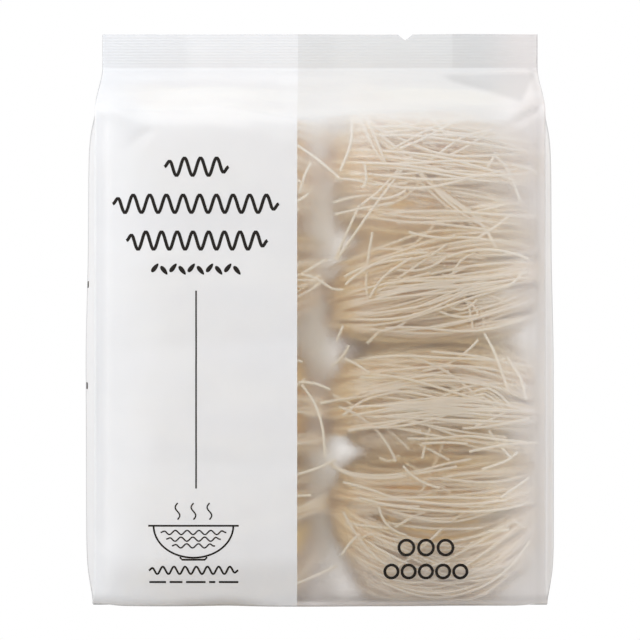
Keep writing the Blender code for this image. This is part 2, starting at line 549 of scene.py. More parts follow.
def frosted_film(name, white, least_haze, most_haze, slack):
    """Clear matte film: a rough refraction, hazier at a slant and where it is slack, with painted
    light and shade.
    """
    material, output = new_material(name)
    tree = material.node_tree
    place = add_node(tree, "ShaderNodeTexCoord").outputs["Object"]
    grain = add_node(tree, "ShaderNodeTexNoise", {"Scale": 1 / (0.5 * MM), "Detail": 2.0},
                     {"Vector": place})
    bump = add_node(tree, "ShaderNodeBump", {"Strength": 0.08, "Distance": 0.05 * MM},
                    {"Height": grain.outputs["Fac"]})
    frost = add_node(tree, "ShaderNodeBsdfRefraction",
                     {"Color": colour("#fbfbfb"), "Roughness": 0.62, "IOR": 1.3})
    axes = add_node(tree, "ShaderNodeSeparateXYZ", {}, {"Vector": place}).outputs
    # Painted light: below the shoulder the haze colour is painted warmer, for light the noodles
    # bounce into it.
    tint = add_node(tree, "ShaderNodeMix",
                    {"data_type": "RGBA", 6: white, 7: colour("#dcd7cd")},
                    {0: slope(tree, axes["Z"], 192 * MM, 150 * MM, slack)})
    # Painted light: towards the right edge and the bottom the haze colour is painted lighter.
    away = add_up(tree, [slope(tree, axes["X"], 62 * MM, 84 * MM, 1.0),
                         slope(tree, axes["Z"], 34 * MM, 8 * MM, 1.0)])
    tint = add_node(tree, "ShaderNodeMix", {"data_type": "RGBA", 7: colour("#dddadb")},
                    {0: away, 6: tint.outputs[2]})
    scatter = add_node(tree, "ShaderNodeBsdfDiffuse", {}, {"Color": tint.outputs[2]})
    glow = add_node(tree, "ShaderNodeBsdfTranslucent", {}, {"Color": tint.outputs[2]})
    haze = add_node(tree, "ShaderNodeMixShader", {0: 0.25},
                    {1: scatter.outputs[0], 2: glow.outputs[0]})
    slant = add_node(tree, "ShaderNodeLayerWeight", {"Blend": 0.5}).outputs["Facing"]
    share = add_node(tree, "ShaderNodeMapRange",
                     {"From Min": 0.05, "From Max": 0.75, "To Min": least_haze,
                      "To Max": most_haze}, {"Value": slant})
    total = add_up(tree, [
        share.outputs["Result"],
        slope(tree, axes["Z"], 172 * MM, 205 * MM, 0.68 * slack),
        slope(tree, axes["Z"], 126 * MM, 165 * MM, 0.15 * slack),
        slope(tree, axes["Z"], 30 * MM, 4 * MM, 0.16 * slack),
        slope(tree, axes["X"], 54 * MM, 84 * MM, 0.40 * slack),
        band(tree, axes["X"], -1 * MM, 8 * MM, 0.20 * slack),
        band(tree, axes["X"], HALF_WIDTH + 0.5 * MM, 1.1 * MM, 0.5 * slack),
        band(tree, axes["Z"], 1.4 * MM, 1.8 * MM, 0.5 * slack),
        slope(tree, axes["X"], HALF_WIDTH + 0.8 * MM, HALF_WIDTH + 2 * MM, -0.3 * slack),
    ])
    sheet = add_node(tree, "ShaderNodeMixShader", {},
                     {0: total, 1: frost.outputs[0], 2: haze.outputs[0]})
    gloss = add_node(tree, "ShaderNodeBsdfGlossy",
                     {"Color": colour("#ffffff"), "Roughness": 0.4},
                     {"Normal": bump.outputs["Normal"]})
    fresnel = add_node(tree, "ShaderNodeFresnel", {"IOR": 1.3})
    surface = add_node(tree, "ShaderNodeMixShader", {},
                       {0: fresnel.outputs[0], 1: sheet.outputs[0], 2: gloss.outputs[0]})
    # Painted shade on the clear film: the tucked gusset behind the right shoulder, the gusset's
    # extra layers in the seal, a line just inside the right crease and a line along the base.
    surface = shaded_edge(tree, place, surface, [
        tuck_shade(tree, place, 0.19 * slack),
        slope(tree, axes["X"], TUCK_EDGE - 0.5 * MM, TUCK_EDGE + 0.5 * MM, 0.06 * (1 - slack)),
        band(tree, axes["X"], 85.3 * MM, 2.0 * MM, 0.05 * slack),
        band(tree, axes["Z"], 3.4 * MM, 2.2 * MM, 0.09 * slack)])
    clear = add_node(tree, "ShaderNodeBsdfTransparent", {"Color": colour("#f8f8f8")})
    ray = add_node(tree, "ShaderNodeLightPath")
    lit = add_node(tree, "ShaderNodeMixShader", {},
                   {0: ray.outputs["Is Diffuse Ray"], 1: surface.outputs[0],
                    2: clear.outputs[0]})
    whole = add_node(tree, "ShaderNodeMixShader", {},
                     {0: ray.outputs["Is Shadow Ray"], 1: lit.outputs[0], 2: clear.outputs[0]})
    tree.links.new(whole.outputs[0], output.inputs["Surface"])
    print("made", name)
    return material


clear_film = frosted_film("matte polypropylene film, clear", colour("#d7d9dc"), 0.15, 0.85, 1.0)
crimped_film = frosted_film("matte polypropylene film, crimped", colour("#d2d4d7"), 0.93, 0.93,
                            0.0)

# %% [markdown]
# ## Ink
#
# The marks are gravure ink, a warm near-black. It is thin, so it lets through a trace of the
# white behind it, and it takes the film's own satin. A fine speckle stands for the cells of
# the printing roller, drawn at a third of a millimetre.

# %% Make the ink
ink, output = new_material("gravure ink, warm black")
tree = ink.node_tree
place = add_node(tree, "ShaderNodeTexCoord").outputs["Object"]
cells = add_node(tree, "ShaderNodeTexNoise", {"Scale": 1 / (0.33 * MM), "Detail": 1.0},
                 {"Vector": place})
tone = add_node(tree, "ShaderNodeMix",
                {"data_type": "RGBA", 6: colour("#130f0c"), 7: colour("#1d1713")},
                {0: cells.outputs["Fac"]})
printed = add_node(tree, "ShaderNodeBsdfPrincipled",
                   {"Roughness": 0.55, "Specular IOR Level": 0.2},
                   {"Base Color": tone.outputs[2]})
tree.links.new(printed.outputs["BSDF"], output.inputs["Surface"])
print("made", ink.name)

# %% [markdown]
# ## Dried rice noodle
#
# Rice vermicelli is extruded starch, dried until it is brittle. Each strand is ivory, a
# little see-through, and matt with a faint gloss. No two are quite the same tone, and each
# runs from chalky to glassy along its length, over about a centimetre. Part of the light
# passes through a strand, so a Translucent shader shares the surface with a Principled one;
# between strands the light bounces many times and turns the warm tan of the gaps. The tone is
# also painted by place. Painted light makes the strands paler towards the top, towards the
# right and near the middle of the pack; painted shade makes the deeper strands darker and
# golden between the nests and at the inner ends of the right-hand coils, and the strands
# nearest the film a little darker.

# %% Make the noodle
rice_noodle, output = new_material("dried rice noodle")
tree = rice_noodle.node_tree
place = add_node(tree, "ShaderNodeTexCoord").outputs["Object"]
strand = add_node(tree, "ShaderNodeNewGeometry").outputs["Random Per Island"]
along_it = add_node(tree, "ShaderNodeTexNoise", {"Scale": 1 / (10 * MM), "Detail": 2.0},
                    {"Vector": place})
chalky = add_node(tree, "ShaderNodeMix",
                  {"data_type": "RGBA", 6: colour("#c9c5bd"), 7: colour("#d8d4cc")},
                  {0: strand})
tone = add_node(tree, "ShaderNodeMix", {"data_type": "RGBA", 7: colour("#cfcac2")},
                {0: along_it.outputs["Fac"], 6: chalky.outputs[2]})
axes = add_node(tree, "ShaderNodeSeparateXYZ", {}, {"Vector": place}).outputs
# Painted light: the strands are painted paler towards the top, towards the right and near the middle
# of the pack.
dried = add_up(tree, [slope(tree, axes["Z"], 128 * MM, 192 * MM, 1.0),
                      slope(tree, axes["X"], 48 * MM, 82 * MM, 1.0),
                      band(tree, axes["X"], -1 * MM, 6 * MM, 0.3)])
tone = add_node(tree, "ShaderNodeMix", {"data_type": "RGBA", 7: colour("#f8f6f4")},
                {0: dried, 6: tone.outputs[2]})
# Painted shade: deeper strands are painted darker and golden between the nests and at the inner ends
# of the right-hand coils.
GAP_HEIGHTS = [(upper[1] - upper[2] + lower[1] + lower[2]) / 2
               for upper, lower in zip(NEST_ROWS, NEST_ROWS[1:])]
painted_golden_shade = add_up(tree, [band(tree, axes["X"], 9.5 * MM, 8 * MM, 0.65),
                       *(band(tree, axes["Z"], height, 8 * MM, 0.9) for height in GAP_HEIGHTS)])
depth = add_node(tree, "ShaderNodeMath", {"operation": "ABSOLUTE"}, {0: axes["Y"]}).outputs[0]
inside = add_node(tree, "ShaderNodeMath", {"operation": "MULTIPLY"},
                  {0: painted_golden_shade, 1: slope(tree, depth, 35.5 * MM, 31 * MM, 1.0)})
tone = add_node(tree, "ShaderNodeMix", {"data_type": "RGBA", 7: colour("#c3b18c")},
                {0: inside.outputs[0], 6: tone.outputs[2]})
# Painted shade: the strands nearest the film are painted a little darker.
tone = add_node(tree, "ShaderNodeMix", {"data_type": "RGBA", 7: colour("#b9b4ab")},
                {0: slope(tree, depth, 31.5 * MM, 36 * MM, 0.32), 6: tone.outputs[2]})
strand_face = add_node(tree, "ShaderNodeBsdfPrincipled",
                       {"Roughness": 0.5, "IOR": 1.5, "Specular IOR Level": 0.25},
                       {"Base Color": tone.outputs[2]})
strand_glow = add_node(tree, "ShaderNodeBsdfTranslucent", {"Color": colour("#e9e2cf")})
noodle = add_node(tree, "ShaderNodeMixShader", {0: 0.3},
                  {1: strand_face.outputs[0], 2: strand_glow.outputs[0]})
soaked = add_node(tree, "ShaderNodeBsdfTransparent", {"Color": colour("#f2e6c1")})
warm = add_node(tree, "ShaderNodeBsdfDiffuse", {"Color": colour("#f6e9b4")})
deep = add_node(tree, "ShaderNodeMixShader", {0: 0.5},
                {1: warm.outputs[0], 2: soaked.outputs[0]})
ray = add_node(tree, "ShaderNodeLightPath")
met = add_node(tree, "ShaderNodeMixShader", {},
               {0: ray.outputs["Is Diffuse Ray"], 1: noodle.outputs[0], 2: deep.outputs[0]})
whole = add_node(tree, "ShaderNodeMixShader", {},
                 {0: ray.outputs["Is Shadow Ray"], 1: met.outputs[0], 2: soaked.outputs[0]})
tree.links.new(whole.outputs[0], output.inputs["Surface"])
print("made", rice_noodle.name)

# %% [markdown]
# Deep inside a nest no strand shows by itself. What is seen there is the same starch, packed
# and shaded, with level streaks a strand apart. Its tone is painted shade: more golden than a
# single strand, for the warm shade deep in a nest. A noise that is stretched along the coil
# and tight up and down gives the streaks, both as tone and as a bump.

# %% Make the imported noodle
packed_noodle, output = new_material("dried rice noodle, packed")
tree = packed_noodle.node_tree
place = add_node(tree, "ShaderNodeTexCoord").outputs["Object"]
combed = add_node(tree, "ShaderNodeMapping", {"Scale": (45.0, 45.0, 700.0)}, {"Vector": place})
streak = add_node(tree, "ShaderNodeTexNoise", {"Scale": 1.0, "Detail": 3.0, "Distortion": 0.4},
                  {"Vector": combed.outputs["Vector"]})
sharper = add_node(tree, "ShaderNodeMapRange", {"From Min": 0.35, "From Max": 0.65},
                   {"Value": streak.outputs["Fac"]})
# Painted shade: the packed starch is painted golden, for the warm shade deep in a nest.
tone = add_node(tree, "ShaderNodeMix",
                {"data_type": "RGBA", 6: colour("#dcbf80"), 7: colour("#ecd59e")},
                {0: sharper.outputs["Result"]})
bump = add_node(tree, "ShaderNodeBump", {"Strength": 0.6, "Distance": 0.8 * MM},
                {"Height": streak.outputs["Fac"]})
packed = add_node(tree, "ShaderNodeBsdfPrincipled", {"Roughness": 0.5},
                  {"Base Color": tone.outputs[2], "Normal": bump.outputs["Normal"]})
warmed = add_node(tree, "ShaderNodeBsdfTransparent", {"Color": colour("#ead9b6")})
ray = add_node(tree, "ShaderNodeLightPath")
half_met = add_node(tree, "ShaderNodeMixShader", {0: 0.5},
                    {1: packed.outputs["BSDF"], 2: warmed.outputs[0]})
met = add_node(tree, "ShaderNodeMixShader", {},
               {0: ray.outputs["Is Diffuse Ray"], 1: packed.outputs["BSDF"],
                2: half_met.outputs[0]})
whole = add_node(tree, "ShaderNodeMixShader", {},
                 {0: ray.outputs["Is Shadow Ray"], 1: met.outputs[0], 2: warmed.outputs[0]})
tree.links.new(whole.outputs[0], output.inputs["Surface"])
print("made", packed_noodle.name)

# %% [markdown]
# ## From a grid to a sheet
#
# Every sheet of the pack starts as bmesh's flat grid, and each of its vertices is then moved
# to its place. The columns stand closer at the creases and at the tear, and the rows closer
# in the shoulder and far closer in the seal, where they have to draw ribs of about a
# millimetre.

# %% Lay a grid over the film
def spaced(marks, step):
    """Values from the first mark to the last, through every mark, no further apart than step."""
    values = [marks[0]]
    for low, high in zip(marks, marks[1:]):
        count = max(1, math.ceil((high - low) / step - 1e-6))
        values += [low + (high - low) * part / count for part in range(1, count + 1)]
    return values


def lay_grid(columns, rows, place):
    """A bmesh grid whose vertex at each column and row is where place(column, row) says."""
    sheet = bmesh.new()
    bmesh.ops.create_grid(sheet, x_segments=len(columns) - 1, y_segments=len(rows) - 1, size=1)
    for vert in sheet.verts:
        column = columns[round((vert.co.x + 1) / 2 * (len(columns) - 1))]
        row = rows[round((vert.co.y + 1) / 2 * (len(rows) - 1))]
        vert.co = place(column, row)
    bmesh.ops.remove_doubles(sheet, verts=sheet.verts, dist=1e-6)
    return sheet


def finish_piece(name, mesh_builder, materials, smooth=True):
    """Turn a bmesh into a piece that rides on the pack and stands for it."""
    mesh = bpy.data.meshes.new(name)
    mesh_builder.to_mesh(mesh)
    mesh_builder.free()
    for material in materials:
        mesh.materials.append(material)
    mesh.polygons.foreach_set("use_smooth", [smooth] * len(mesh.polygons))
    piece = bpy.data.objects.new(name, mesh)
    bpy.context.scene.collection.objects.link(piece)
    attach(piece, "root")
    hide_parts("pack")
    mesh.calc_loop_triangles()
    print(name, "has", len(mesh.loop_triangles), "triangles")
    return piece


ROWS = spaced([-HALF_DEPTH + BASE_RADIUS, 0], 3 * MM)[:-1]
ROWS += [BASE_RADIUS * (1 - math.cos(math.pi / 2 * step / 6)) for step in range(6)]
ROWS += spaced([BASE_RADIUS, SHOULDER_START - 12 * MM], 2.2 * MM)[:-1]
ROWS += spaced([SHOULDER_START - 12 * MM, SEAL_START], 1.0 * MM)[:-1]
ROWS += spaced([SEAL_START, PACK_HEIGHT], RIB_PITCH / 5)
print(len(ROWS), "rows of film")

# %% [markdown]
# ## The two halves of the bag
#
# The printed half runs from the seam at the back, round the left gusset, to the edge of the
# white print just left of the front's middle. The clear half goes on from there, round the
# right gusset and back to the seam. They share the print's edge vertex for vertex.

# %% Build the bag
PRINT_EDGE = FRONT_MIDDLE - 8.9 * MM
BEND = 0.5 * MM


def creased(*creases):
    """Marks on both sides of each crease, so that its fold is drawn sharp."""
    return [crease + side for crease in creases for side in (-2 * BEND, -BEND, 0, BEND, 2 * BEND)]


left_marks = [-LAP_HALF, -LAP_HALF + BEND, *creased(BACK_LEFT, LEFT_FOLD, FRONT_LEFT), PRINT_EDGE]
finish_piece("white_film", lay_grid(spaced(left_marks, 2.2 * MM), ROWS, film_point),
             [white_film])

notch_steps = [TEAR_HALF * part / 4 for part in range(-4, 5)]
right_marks = [PRINT_EDGE, *(FRONT_MIDDLE + TEAR_CENTRE + step for step in notch_steps),
               *creased(FRONT_RIGHT, RIGHT_FOLD, BACK_RIGHT),
               *(WEB_WIDTH - TEAR_CENTRE + step for step in notch_steps),
               *spaced([WEB_WIDTH - LAP_HALF - 2 * MM, WEB_WIDTH + LAP_HALF], 0.5 * MM)]
clear_half = lay_grid(spaced(right_marks, 2.2 * MM), ROWS, film_point)
for face in clear_half.faces:
    face.material_index = int(face.calc_center_median().z > SEAL_START)
finish_piece("clear_film", clear_half, [clear_film, crimped_film])

# %% [markdown]
# ## The folded base
#
# Under the pack the bag ends in a crimped seal, folded over and lying flat across the middle.
# It is a narrow strip of the same film, a few tenths of a millimetre thick, and it keeps the
# rib pattern of the top seal.

# %% Fold the base seal over
FLAP_HALF = 6 * MM


def flap_point(across, depth):
    """A point on the underside of the folded base seal."""
    rib = RIB * math.sin(2 * math.pi * depth / RIB_PITCH)
    return Vector((across, depth, 0.1 * MM + rib))


def base_flap(name, low, high, material):
    """One part of the base seal, from one place across to another."""
    columns = spaced([low, high], 4 * MM)
    flap = lay_grid(columns, spaced([-FLAP_HALF, FLAP_HALF], RIB_PITCH / 6), flap_point)
    bmesh.ops.reverse_faces(flap, faces=flap.faces)
    finish_piece(name, flap, [material])


base_flap("base_seal_white", -HALF_WIDTH + 1 * MM, PRINT_EDGE - FRONT_MIDDLE, white_film)
base_flap("base_seal_clear", PRINT_EDGE - FRONT_MIDDLE, HALF_WIDTH - 1 * MM, crimped_film)

# %% [markdown]
# ## The print
#
# The pack carries generic marks only: rows of noodle waves, a row of rice grains, a thin rule,
# a bowl, and eight rings for the eight nests. Each mark is a narrow ribbon along a line that
# is drawn flat, in millimetres across and up, and wrapped onto the film. Real ink has next to
# no height, so the ribbons lie six hundredths of a millimetre off it.

# %% Draw with ribbons
INK_LIFT = 0.06 * MM


def on_front(across, height):
    """A place on the ink, in millimetres across the front and up it."""
    point = film_point(FRONT_MIDDLE + across * MM, height * MM)
    return point - Vector((0.0, INK_LIFT, 0.0))


def ribbon(line, width, closed=False, place=on_front):
    """A flat ribbon of a width, in millimetres, along a line of points across and up."""
    points = [Vector(point) for point in line]
    sides = []
    for index, point in enumerate(points):
        before = points[index - 1] if index or closed else point
        after = points[(index + 1) % len(points)] if index + 1 < len(points) or closed else point
        run = (after - before).normalized()
        sides.append((point, Vector((-run.y, run.x)) * width / 2))
    if closed:
        sides.append(sides[0])
    return lay_grid(list(range(len(sides))), [-1, 1],
                    lambda step, edge: place(*(sides[step][0] + sides[step][1] * edge)))


def disc(across, height, half_length, half_width, tilt):
    """A flat oval, such as a printed grain of rice."""
    made = bmesh.new()
    bmesh.ops.create_circle(made, cap_ends=True, cap_tris=True, segments=20, radius=1.0)
    for vert in made.verts:
        x, z = vert.co.x * half_length, vert.co.y * half_width * (1 - 0.25 * vert.co.x)
        turned = (x * math.cos(tilt) - z * math.sin(tilt), x * math.sin(tilt) + z * math.cos(tilt))
        vert.co = on_front(across + turned[0], height + turned[1])
    return made


def print_marks(name, marks):
    """Join several marks into one printed piece."""
    whole = bmesh.new()
    for mark in marks:
        part = bpy.data.meshes.new("mark")
        mark.to_mesh(part)
        mark.free()
        whole.from_mesh(part)
        bpy.data.meshes.remove(part)
    finish_piece(name, whole, [ink], smooth=False)


def arc(across, height, half_width, half_height, start, end, steps):
    """Points along part of an oval, from one angle in degrees to another."""
    angles = [math.radians(start + (end - start) * step / steps) for step in range(steps + 1)]
    return [(across + half_width * math.cos(a), height + half_height * math.sin(a)) for a in angles]


print("ribbons are ready")

# %% [markdown]
# The title place holds three rows of waves, like noodles laid side by side. A wave is a sine
# line; its ends are eased to level, so that each row starts and stops softly.

# %% Print the title waves and the grains
def wave(low, high, middle, swing, pitch):
    """Points of a wavy line that is level at both of its ends."""
    steps = round((high - low) / pitch * 14)
    line = []
    for step in range(steps + 1):
        across = low + (high - low) * step / steps
        ease = min(1.0, 2.2 * min(step, steps - step) / 14)
        line.append((across, middle + swing * ease * math.sin(2 * math.pi * (across - low) / pitch)))
    return line


print_marks("title_waves", [
    ribbon(wave(-60.5, -35.5, 171.8, 3.5, 6.25), 1.25),
    ribbon(wave(-80.8, -16.0, 157.4, 3.5, 6.48), 1.25),
    ribbon(wave(-75.4, -20.4, 143.1, 3.5, 6.11), 1.25),
])
print_marks("rice_grains", [
    disc(-64.2 + 3.55 * count, 132.0 + 0.5 * (-1) ** count, 2.1, 0.85, 0.9 * (-1) ** count)
    for count in range(10)
])
print_marks("thin_rule", [ribbon([(-48.2, 46.7 + 76.9 * step / 60) for step in range(61)], 0.6)])

# %% [markdown]
# Low on the white half a bowl is drawn in thin line, with steam over it, above a short wave
# and a broken line.

# %% Print the bowl
bowl = arc(-49.2, 32.2, 15.5, 12.4, 180, 360, 48)
foot = [(-54.5, 20.0), (-53.6, 19.0), (-44.8, 19.0), (-43.9, 20.0)]
noodles = [wave(-62.0 + 2.2 * row, -36.4 - 2.2 * row, 29.6 - 2.6 * row, 0.8, 4.6)
           for row in range(3)]
steam = [[(-55.4 + 6.2 * column + 0.9 * math.sin(step / 2.2), 34.6 + 0.46 * step)
          for step in range(15)] for column in range(3)]
print_marks("bowl_mark", [
    ribbon(bowl, 0.7),
    ribbon([(-66.8 + 35.2 * step / 24, 32.2) for step in range(25)], 0.7),
    ribbon(foot, 0.7),
    *(ribbon(line, 0.55) for line in noodles),
    *(ribbon(line, 0.55) for line in steam),
])
dashes = [(-66.5, -60.0), (-58.6, -53.6), (-52.2, -44.6), (-43.2, -40.8), (-39.4, -31.8)]
print_marks("small_lines", [
    ribbon(wave(-66.6, -31.8, 14.8, 1.5, 4.35), 0.75),
    *(ribbon([(low + (high - low) * step / 4, 10.1) for step in range(5)], 0.8)
      for low, high in dashes),
])

# %% [markdown]
# Eight rings on the clear half count the nests. Two short ticks on the left gusset are what
# the packing machine's eye reads to place each bag.

# %% Print the rings and the ticks
def ring(across, height, radius):
    """A closed circle of ink."""
    return ribbon(arc(across, height, radius, radius, 0, 360, 40)[:-1], 1.1, closed=True)


print_marks("nest_rings", [
    *(ring(41.2 + 7.6 * count, 23.7, 2.9) for count in (-1, 0, 1)),
    *(ring(41.2 + 6.7 * count, 14.3, 2.6) for count in (-2, -1, 0, 1, 2)),
])


def on_left_gusset(forwards, height):
    """A place on the left gusset's ink, in millimetres forwards of its fold and up it."""
    return film_point(LEFT_FOLD + forwards * MM, height * MM) - Vector((INK_LIFT, 0.0, 0.0))


print_marks("eye_ticks", [
    ribbon([(14.0, height), (15.6, height), (17.2, height), (19.0, height)], 2.6,
           place=on_left_gusset)
    for height in (126.3, 86.1)
])

# %% [markdown]
# ## Winding a nest
#
# A nest is a long lock of wet strands coiled into a mould and dried. Here each lock is a
# handful of strands that keep together as they go round: they start at one place on the coil,
# turn once or a few times, and wander a little up, down, in and out. The coil's outline from
# above is a rounded oblong, pressed flat against the film, and its strands sag or arch by
# the sags in the table of nests.
#
# Strands could be hair or instances, but real meshes survive every export. A curve with a
# round bevel is the quickest way to make one: six faces round is enough for a strand about a
# millimetre thick.

# %% Wind the strands
STRAND_RADIUS = 0.58 * MM
STRAND_STEP = 5.0 * MM
OUTLINE_POWER = 3.4
SHELL = 0.24


def wander(dice, slowest=0.5, fastest=2.2):
    """A smooth random function of an angle, between -1 and 1."""
    parts = [(dice.uniform(slowest, fastest), dice.uniform(0, 2 * math.pi), dice.uniform(0.3, 1))
             for _ in range(3)]
    total = sum(weight for _, _, weight in parts)
    return lambda angle: sum(w * math.sin(f * angle + p) for f, p, w in parts) / total


def coil_radius(angle, half_width):
    """Distance from the coil's axis to its outline."""
    x, y = abs(math.cos(angle)) / half_width, abs(math.sin(angle)) / NEST_DEPTH
    return (x ** OUTLINE_POWER + y ** OUTLINE_POWER) ** (-1 / OUTLINE_POWER)


def kept_inside(point):
    """The nearest place to a point, to front or back, where a strand clears the film."""
    x, y, z = point.x, point.y, min(max(point.z, 3 * MM), SEAL_START - 10 * MM)
    across = min(max(x, -HALF_WIDTH), HALF_WIDTH)
    along = FRONT_MIDDLE + across if y < 0 else WEB_WIDTH - across
    depth = crease_depth(z) + panel_swell(across, z, along)
    depth -= shoulder_sag(across, z) if y < 0 else 0.0
    depth += min(fold_push(across, z, FRONT_FOLDS if y < 0 else BACK_FOLDS), 0.0)
    room = depth - STRAND_RADIUS - 0.8 * MM - 0.03 * max(z - 180 * MM, 0.0)
    y = min(max(y, -room), room)
    reach = HALF_WIDTH + gusset_swell(1.0 - abs(y) / depth, z, RIGHT_FOLD) - 3.5 * MM
    return Vector((min(max(x, -reach), reach), y, z))


def wind_lock(dice, nest_x, half_width, row):
    """The strands of one lock, each a list of points."""
    _, nest_z, half_height, rise, top_sag, foot_sag = row
    turns = dice.uniform(0.5, 2.6) * 2 * math.pi
    start, way = dice.uniform(0, 2 * math.pi), dice.choice((-1, 1))
    level, shell = dice.uniform(-0.95, 0.95), 1.0 - SHELL * dice.random() ** 1.3
    tilt, tilt_turn = abs(dice.gauss(0, 0.26)), dice.uniform(0, 2 * math.pi)
    lock_up, lock_in = wander(dice), wander(dice)
    strands = []
    for _ in range(dice.randint(4, 9)):
        aside, above = dice.gauss(0, 1.4 * MM), dice.gauss(0, 1.2 * MM)
        own_in, own_up = wander(dice), wander(dice, 1.0, 5.0)
        lead = dice.uniform(-0.4, 0.4)
        steps = int(turns * 0.85 * (half_width + NEST_DEPTH) / 2 / STRAND_STEP)
        points = []
        for step in range(steps + 1):
            turn = turns * step / steps
            angle = start + way * (turn + lead)
            height = level + tilt * math.sin(angle + tilt_turn) + 0.16 * lock_up(turn)
            height = min(max(height, -0.98), 0.98)
            narrow = (1 - abs(height) ** 2.6) ** (1 / 2.6)
            outward = math.copysign(1.0, nest_x) * math.cos(angle)
            slim = 1.0 - (1.0 - narrow) * (0.65 - 0.45 * smooth_step(-0.3, 0.7, outward))
            out = min(shell + 0.05 * lock_in(turn), 1.0) * slim
            out = coil_radius(angle, half_width) * out + aside + 0.9 * MM * own_in(turn)
            x, y = out * math.cos(angle), out * math.sin(angle)
            z = height * half_height + above + 1.7 * MM * own_up(turn) + rise * x
            upper = smooth_step(-0.5, 0.5, height)
            sag = foot_sag * (1 - upper) + top_sag * upper
            z += sag * half_height * ((x / half_width) ** 2 - 0.35)
            points.append(kept_inside(Vector((nest_x + x, y, nest_z + z))))
        strands.append(points)
    return strands


print("a strand is", 2 * STRAND_RADIUS / MM, "mm thick")

# %% [markdown]
# Broken ends and strays lie over the coil, just inside the film. Most are short and point
# anywhere; they are what makes a nest look tangled. Those that stand out on the front of this
# pack have a table of their own: each row is the marks that one strand passes through, in
# millimetres across and up.

# %% Trace the strands that stand out
FRONT_STRANDS = [
    [(35.5, 176.5), (24, 163.5), (16, 157)],
    [(15.5, 157), (11.5, 148.5), (6, 136)],
    [(6, 153.5), (15.5, 155.5), (29, 158)],
    [(14.5, 194), (17.5, 186.5), (22, 177.5), (27, 170.5)],
    [(16.5, 194.5), (21, 184.5), (25.5, 173.5)],
    [(12.5, 191), (12, 181), (8, 170.5)],
    [(57.5, 192.5), (49, 187.5), (39.5, 182.5), (31, 179)],
    [(66.5, 186), (57.5, 180), (49, 176), (39.5, 175.5), (31.5, 178.5)],
    [(68, 176.5), (72.5, 172), (75.5, 165.5), (78, 159)],
    [(68.5, 177.5), (66.5, 173.5), (64, 170)],
    [(20.5, 146.5), (19, 137.5), (18, 126.5), (19, 119)],
    [(36, 136.5), (28.5, 132), (23, 127), (19.5, 121)],
    [(43, 130.5), (35, 128.5), (22, 123.5)],
    [(9.5, 129), (15.5, 132), (26.5, 135), (36, 136), (42.5, 137.5)],
    [(60.5, 138.5), (55, 135.5), (51.5, 129.5), (53, 125), (57.5, 119), (59.5, 109)],
    [(64, 133.5), (57.5, 133), (50, 129.5), (47.5, 130)],
    [(80, 132.5), (75, 126.5), (64, 123.5), (52.5, 121)],
    [(9, 110), (6.5, 104)],
    [(-7.5, 130), (-1.5, 128.5), (4.5, 124.5), (9, 124)],
    [(-3.5, 173.5), (-6, 168.5), (-8, 161.5)],
    [(36.5, 170.5), (46, 170), (55.5, 169.5), (67.5, 169), (75, 167)],
    [(34.5, 146.5), (40.5, 145), (50.5, 144), (52.5, 145.5)],
    [(6, 167.5), (15.5, 166.5), (21, 165), (34, 165.5)],
    [(17.5, 173), (18, 167), (16.5, 163.5)],
    [(49, 171), (52.5, 173.5), (55.5, 173.5)],
    [(44.5, 202.5), (40.5, 194), (38, 188.5)],
    [(64, 107), (68, 99.5), (71.5, 90), (73.5, 84.5)],
    [(73, 97.5), (78.5, 89), (80.5, 81)],
    [(57.5, 81.5), (64, 83.5), (69, 80), (72, 76.5), (69.5, 75), (59.5, 70)],
    [(49, 79.5), (57.5, 81), (63.5, 82), (68, 78.5), (70.5, 76)],
    [(56, 80), (63, 82.4), (68.4, 79.4), (71.2, 76.3), (68.5, 74.3)],
    [(58, 82.8), (64.5, 84.6), (70, 81), (73, 77.2), (71, 74.8)],
    [(60, 84.2), (65.5, 85.6), (71, 82.2), (73.8, 78.8)],
    [(9, 75), (16.5, 80.5), (26.5, 83.5), (36, 84.5), (47, 83.5)],
    [(35, 78.5), (42.5, 79.5), (57.5, 82), (64, 82.5)],
    [(-8.5, 88), (-2, 87.5), (4, 85)],
    [(-7, 87), (-2, 79.5), (1, 70), (2, 58.5)],
    [(38.5, 64), (45, 60.5), (50.5, 57.5)],
    [(75, 34.5), (77, 33), (79.5, 31)],
    [(4, 56), (12, 52.5), (24, 51.5), (37, 53), (49, 56), (59, 58)],
    [(4.5, 55), (13, 51.5), (25, 50.5), (39.5, 52.5), (53.5, 55)],
    [(9, 49), (18.5, 46.5), (28.5, 43), (40.5, 40.5)],
    [(9, 37.5), (15, 27.5), (24, 18), (37, 12), (53.5, 11.5)],
    [(24, 10), (37, 5), (49, 4), (63, 8), (74, 16), (82, 26)],
    [(15.5, 29), (11.5, 25), (8.5, 20.5)],
    [(34, 66), (44.5, 66), (57.5, 67), (70.5, 65.5), (80.5, 64.5)],
    [(55.5, 70), (64, 70.5), (73, 72), (81.5, 73.5)],
    [(11, 69), (19.5, 70.5), (31.5, 70), (39.5, 69)],
    [(57.5, 64), (49, 64.5), (39.5, 64)],
    [(10, 33), (17.5, 32), (26.5, 31)],
    [(63, 54), (72, 57), (77, 60.5)],
    [(70.5, 43), (77, 47.5), (81.5, 50.5)],
    [(4.5, 94), (9, 98), (11.5, 102.5)],
    [(36, 176), (20, 155), (6.5, 135.5)],
    [(67.8, 186.5), (55, 183), (43, 174.4)],
    [(60, 190.8), (45, 187.5), (28, 178.7)],
]


